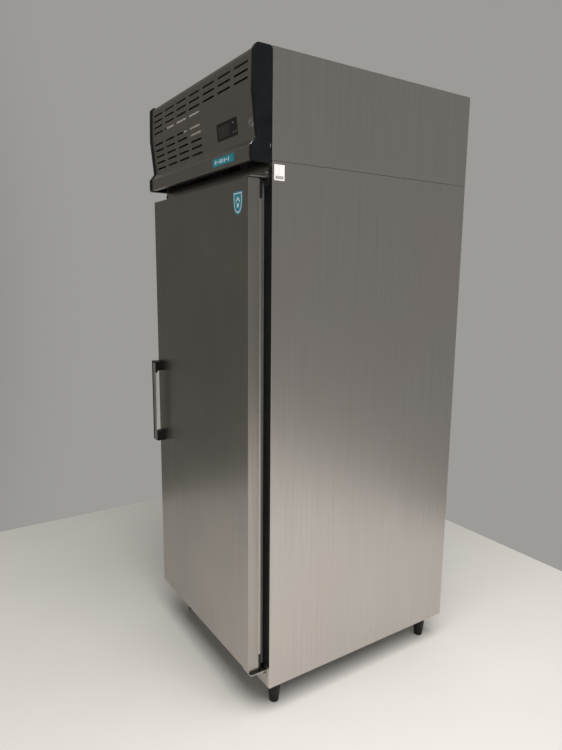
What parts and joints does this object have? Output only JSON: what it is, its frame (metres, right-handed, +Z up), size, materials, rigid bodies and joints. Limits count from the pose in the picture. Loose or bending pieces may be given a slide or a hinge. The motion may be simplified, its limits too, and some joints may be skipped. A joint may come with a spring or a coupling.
{
  "type": "reach in refrigerator",
  "caption": "Upright reach-in refrigerator with a hinged insulated door, wire shelves, adjustable feet and a slotted machine compartment on top.",
  "frame": {"origin": "on the floor at the centre of the overall footprint, from the front of the door handle to the back panel", "axes": "+X to the right seen from the front, +Y to the back, +Z up"},
  "size_m": [0.71, 0.84, 1.89],
  "materials": {
    "stainless_side": "satin",
    "stainless_front": "satin",
    "stainless_inner": "satin",
    "galvanised": "satin",
    "racking_steel": "satin",
    "shelf_wire": "satin",
    "breaker_plastic": "satin",
    "cap_plastic": "satin",
    "handle_plastic": "satin",
    "handle_steel": "satin",
    "foam": "matte",
    "compressor_paint": "gloss",
    "fin_aluminium": "satin",
    "fan_plastic": "satin",
    "copper": "satin",
    "box_plastic": "satin",
    "lamp_lens": "satin",
    "white_plastic": "satin",
    "hinge_steel": "satin",
    "controller_plastic": "satin",
    "display_lens": "gloss",
    "key_rubber": "matte",
    "lock_chrome": "polished",
    "nameplate_enamel": "gloss",
    "gasket_rubber": "matte",
    "foot_plastic": "satin"
  },
  "bodies": {
    "cabinet": {"side_panel_left": "stainless_side", "side_panel_right": "stainless_side", "back_panel": "galvanised", "base_panel": "galvanised", "deck_panel": "stainless_front", "threshold": "stainless_front", "breaker_frame": "breaker_plastic", "side_insulation": "foam", "back_insulation": "foam", "deck_insulation": "foam", "inner_liner": "stainless_inner", "upper_panel_left": "stainless_side", "upper_panel_right": "stainless_side", "upper_back_panel": "galvanised", "top_cover": "galvanised", "fascia_brackets": "galvanised", "compressor": "compressor_paint", "condenser": "fin_aluminium", "fan_shroud": "fan_plastic", "refrigerant_lines": "copper", "electrical_box": "box_plastic", "cable_gland": "box_plastic", "evaporator": "fin_aluminium", "drip_tray": "galvanised", "evaporator_cover": "stainless_inner", "evaporator_fan_motor": "fan_plastic", "cabinet_lamp": "lamp_lens", "uprights": "racking_steel", "shelf_runners": "racking_steel", "hinge_bracket_top": "hinge_steel", "hinge_bracket_bottom": "hinge_steel", "light_switch": "white_plastic"},
    "fascia": {"fascia_sheet": "stainless_front", "end_cap_left": "cap_plastic", "end_cap_right": "cap_plastic", "controller": "controller_plastic", "display_lens": "display_lens", "lock_barrel": "lock_chrome", "nameplate": "nameplate_enamel"},
    "lock_cylinder": {"lock_cylinder": "lock_chrome"},
    "key_set": {"key_set": "key_rubber"},
    "key_up": {"key_up": "key_rubber"},
    "key_down": {"key_down": "key_rubber"},
    "switch_plunger": {"switch_plunger": "white_plastic"},
    "condenser_fan": {"condenser_fan": "fan_plastic"},
    "evaporator_fan": {"evaporator_fan": "fan_plastic"},
    "door": {"door_shell": "stainless_front", "door_foam": "foam", "door_liner": "stainless_inner", "door_gasket": "gasket_rubber", "handle_frame": "handle_plastic", "handle_grip": "handle_steel", "hinge_bushes": "breaker_plastic"},
    "shelf_lower": {"shelf_lower": "shelf_wire"},
    "shelf_middle": {"shelf_middle": "shelf_wire"},
    "shelf_upper": {"shelf_upper": "shelf_wire"},
    "foot_front_left": {"foot_front_left": "foot_plastic"},
    "foot_front_right": {"foot_front_right": "foot_plastic"},
    "foot_rear_left": {"foot_rear_left": "foot_plastic"},
    "foot_rear_right": {"foot_rear_right": "foot_plastic"}
  },
  "joints": [
    {"name": "door_hinge", "type": "hinge", "parent": "cabinet", "child": "door", "pos_m": [0.316, -0.352, 0.8595], "axis": [0, 0, 1], "range_deg": [0, 105], "stiffness_Nm_per_rad": 1.5, "springref_deg": -11.46},
    {"name": "fascia_tilt", "type": "hinge", "parent": "cabinet", "child": "fascia", "pos_m": [0, -0.338, 1.884], "axis": [-1, 0, 0], "range_deg": [0, 75]},
    {"name": "lock_turn", "type": "hinge", "parent": "fascia", "child": "lock_cylinder", "pos_m": [0.327, -0.37597, 1.707], "axis": [0, -0.994, -0.1094], "range_deg": [0, 90]},
    {"name": "key_set_press", "type": "slide", "parent": "fascia", "child": "key_set", "axis": [0, 0.994, 0.1094], "range_m": [0, 0.001], "stiffness_N_per_m": 600},
    {"name": "key_up_press", "type": "slide", "parent": "fascia", "child": "key_up", "axis": [0, 0.994, 0.1094], "range_m": [0, 0.001], "stiffness_N_per_m": 600},
    {"name": "key_down_press", "type": "slide", "parent": "fascia", "child": "key_down", "axis": [0, 0.994, 0.1094], "range_m": [0, 0.001], "stiffness_N_per_m": 600},
    {"name": "switch_press", "type": "slide", "parent": "cabinet", "child": "switch_plunger", "axis": [0, 1, 0], "range_m": [0, 0.002], "stiffness_N_per_m": 250},
    {"name": "condenser_fan_spin", "type": "hinge", "parent": "cabinet", "child": "condenser_fan", "pos_m": [-0.19, -0.218, 1.75], "axis": [0, -1, 0], "continuous": true},
    {"name": "evaporator_fan_spin", "type": "hinge", "parent": "cabinet", "child": "evaporator_fan", "pos_m": [0, -0.06, 1.45], "axis": [0, 0, 1], "continuous": true},
    {"name": "shelf_lower_slide", "type": "slide", "parent": "cabinet", "child": "shelf_lower", "axis": [0, -1, 0], "range_m": [0, 0.022]},
    {"name": "shelf_middle_slide", "type": "slide", "parent": "cabinet", "child": "shelf_middle", "axis": [0, -1, 0], "range_m": [0, 0.022]},
    {"name": "shelf_upper_slide", "type": "slide", "parent": "cabinet", "child": "shelf_upper", "axis": [0, -1, 0], "range_m": [0, 0.022]},
    {"name": "foot_front_left_height", "type": "slide", "parent": "cabinet", "child": "foot_front_left", "axis": [0, 0, 1], "range_m": [-0.02, 0.01]},
    {"name": "foot_front_right_height", "type": "slide", "parent": "cabinet", "child": "foot_front_right", "axis": [0, 0, 1], "range_m": [-0.02, 0.01]},
    {"name": "foot_rear_left_height", "type": "slide", "parent": "cabinet", "child": "foot_rear_left", "axis": [0, 0, 1], "range_m": [-0.02, 0.01]},
    {"name": "foot_rear_right_height", "type": "slide", "parent": "cabinet", "child": "foot_rear_right", "axis": [0, 0, 1], "range_m": [-0.02, 0.01]}
  ]
}
